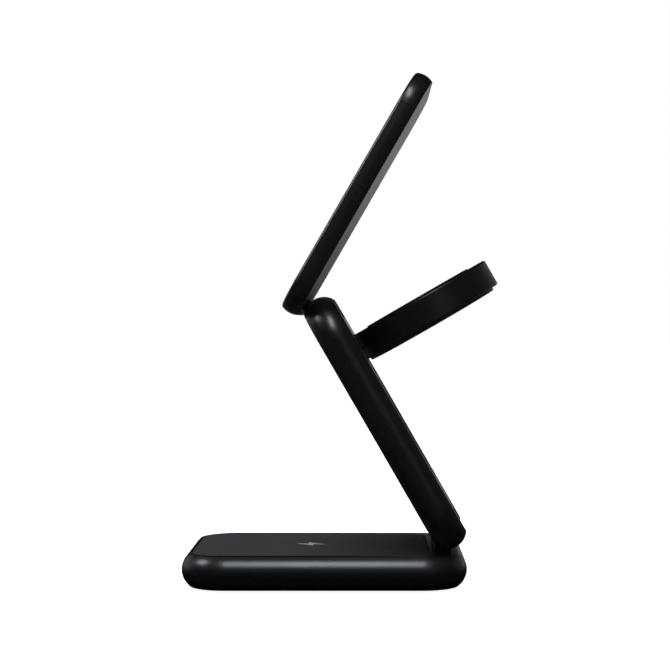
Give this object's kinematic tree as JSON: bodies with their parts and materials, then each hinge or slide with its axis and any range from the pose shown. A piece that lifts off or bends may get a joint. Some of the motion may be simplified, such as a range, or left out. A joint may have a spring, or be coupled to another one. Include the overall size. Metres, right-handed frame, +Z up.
{
  "type": "three in one wireless charger",
  "caption": "Folding stand charger in a Z shape: base with an earbud pad, leaning arm with a flip-out round watch puck and a magnetic phone panel on top, joined by friction hinges.",
  "frame": {"origin": "centre of the base's footprint, on the table plane under the foot pad", "axes": "+X from the front of the base to its hinge end, +Y across the width, +Z up"},
  "size_m": [0.0987, 0.062, 0.158],
  "materials": {
    "satin_black": "satin moulded plastic",
    "puck_black": "satin moulded plastic",
    "puck_face_black": "smooth plastic",
    "hinge_black": "black coated die casting",
    "pad_grey": "soft matte silicone",
    "cover_grey": "fine matte plastic",
    "plate_black": "fine matte plastic",
    "foot_rubber": "grippy silicone",
    "steel": "plain steel",
    "inlet_steel": "drawn steel",
    "bush_bronze": "plain bearing bronze",
    "copper": "enamelled copper wire",
    "ferrite": "sintered ferrite",
    "magnet": "nickel plated magnet",
    "board_green": "solder mask",
    "flex_amber": "polyimide film"
  },
  "bodies": {
    "base": {"base_shell": "satin_black", "earbud_pad": "pad_grey", "bottom_plate": "plate_black", "foot_pad": "foot_rubber", "plate_screws": "steel", "ballast_plate": "steel", "earbud_coil": "copper", "earbud_ferrite": "ferrite", "base_board": "board_green", "power_inlet": "inlet_steel", "lower_hinge_knuckle": "hinge_black", "lower_hinge_bushes": "bush_bronze", "lower_hinge_screws": "steel"},
    "arm": {"arm_shell": "satin_black", "arm_back_cover": "cover_grey", "arm_board": "board_green", "arm_flex": "flex_amber", "lower_hinge_pin": "steel", "upper_hinge_pin": "steel", "puck_hinge_pin": "steel"},
    "puck": {"puck_shell": "puck_black", "puck_face": "puck_face_black", "puck_lip_cover": "puck_black", "puck_coil": "copper", "puck_ferrite": "ferrite", "puck_magnet": "magnet", "puck_board": "board_green"},
    "panel": {"panel_shell": "satin_black", "panel_face": "pad_grey", "panel_back_cover": "cover_grey", "phone_magnets": "magnet", "phone_coil": "copper", "phone_ferrite": "ferrite", "panel_board": "board_green", "upper_hinge_knuckle": "hinge_black", "upper_hinge_bushes": "bush_bronze", "upper_hinge_screws": "steel"}
  },
  "joints": [
    {"name": "arm_fold", "type": "hinge", "parent": "base", "child": "arm", "pos_m": [0.0386, 0, 0.0161], "axis": [0, -1, 0], "range_deg": [0, 60]},
    {"name": "panel_fold", "type": "hinge", "parent": "arm", "child": "panel", "pos_m": [-0.001, 0, 0.08469], "axis": [0, 1, 0], "range_deg": [0, 120]},
    {"name": "puck_fold", "type": "hinge", "parent": "arm", "child": "puck", "pos_m": [0.0079, 0, 0.07407], "axis": [0, 1, 0], "range_deg": [0, 90]}
  ],
  "couplings": [
    {"joint": "puck_fold", "follows": "panel_fold", "ratio": 0.75}
  ]
}
